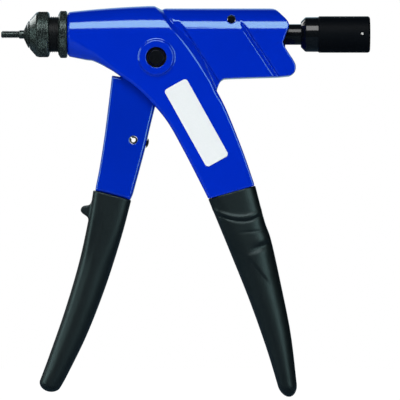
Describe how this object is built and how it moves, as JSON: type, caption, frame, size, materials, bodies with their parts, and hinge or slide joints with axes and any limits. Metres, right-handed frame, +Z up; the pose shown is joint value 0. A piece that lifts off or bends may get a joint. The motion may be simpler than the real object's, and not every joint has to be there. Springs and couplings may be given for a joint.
{
  "type": "rivet nut tool",
  "caption": "Hand-lever tool that sets rivet nuts: a squeeze lever and toggle links draw a threaded mandrel back through the nose, and a rear knob spins it on and off.",
  "frame": {"origin": "bottom centre of the bounding box: below the middle of the tool's length, at the level of the fixed grip's lower end", "axes": "+X along the pull axis from the nose to the knob, +Y away from the labelled flank, +Z up from the grips to the head"},
  "size_m": [0.2458, 0.0404, 0.2606],
  "materials": {
    "blue_paint": "gloss blue enamel on a light-alloy casting",
    "black_steel": "black oxide, satin",
    "steel": "ground, lightly oiled",
    "bronze": "sintered bronze",
    "black_grip": "black moulded vinyl, satin",
    "knob_black": "black, smooth collar and finely ribbed grip",
    "rubber": "black rubber",
    "label_white": "white film, bare"
  },
  "bodies": {
    "root": {"housing": "blue_paint", "nose_sleeve": "black_steel", "pivot_pin": "black_steel", "pivot_bush_near": "bronze", "pivot_bush_far": "bronze", "pivot_circlip": "steel", "rear_guide_bush": "bronze", "stop_pin": "steel", "return_spring": "steel", "fixed_grip": "black_grip", "label_plate": "label_white"},
    "lever_arm": {"lever": "blue_paint", "lever_bush": "bronze", "lever_roll_pin": "steel", "stop_bumper": "rubber", "lever_grip": "black_grip", "knee_pin": "steel"},
    "toggle_links": {"link_near": "steel", "link_far": "steel"},
    "slide": {"crosshead": "steel", "thrust_washer_front": "steel", "ball_cage": "bronze", "bearing_ball_1": "steel", "bearing_ball_2": "steel", "bearing_ball_3": "steel", "bearing_ball_4": "steel", "bearing_ball_5": "steel", "bearing_ball_6": "steel", "bearing_ball_7": "steel", "bearing_ball_8": "steel"},
    "spindle": {"spindle_shaft": "black_steel", "thrust_washer_rear": "steel", "mandrel_holder": "steel", "mandrel": "black_steel", "knob": "knob_black", "knob_pin": "steel"},
    "nose": {"nose_nut": "black_steel", "anvil": "black_steel"},
    "lock": {"lock_nut": "black_steel"}
  },
  "joints": [
    {"name": "lever_pivot", "type": "hinge", "parent": "root", "child": "lever_arm", "pos_m": [-0.0193, 0, 0.22581], "axis": [0, -1, 0], "range_deg": [0, 24], "stiffness_Nm_per_rad": 1.2, "springref_deg": -20.05},
    {"name": "link_pivot", "type": "hinge", "parent": "lever_arm", "child": "toggle_links", "pos_m": [-0.00666, 0, 0.2152], "axis": [0, -1, 0], "range_deg": [-35, 0]},
    {"name": "crosshead_slide", "type": "slide", "parent": "root", "child": "slide", "axis": [1, 0, 0], "range_m": [0, 0.0077], "deforming": ["return_spring"]},
    {"name": "spindle_spin", "type": "hinge", "parent": "slide", "child": "spindle", "pos_m": [0.0443, 0, 0.24161], "axis": [1, 0, 0], "continuous": true},
    {"name": "nose_nut_turn", "type": "hinge", "parent": "root", "child": "nose", "pos_m": [-0.0972, 0, 0.24161], "axis": [1, 0, 0], "continuous": true},
    {"name": "lock_nut_turn", "type": "hinge", "parent": "root", "child": "lock", "pos_m": [-0.0818, 0, 0.24161], "axis": [1, 0, 0], "continuous": true}
  ],
  "couplings": [
    {"joint": "link_pivot", "follows": "lever_pivot", "ratio": -1.4472},
    {"joint": "crosshead_slide", "follows": "lever_pivot", "m_per_rad": 0.018176}
  ]
}
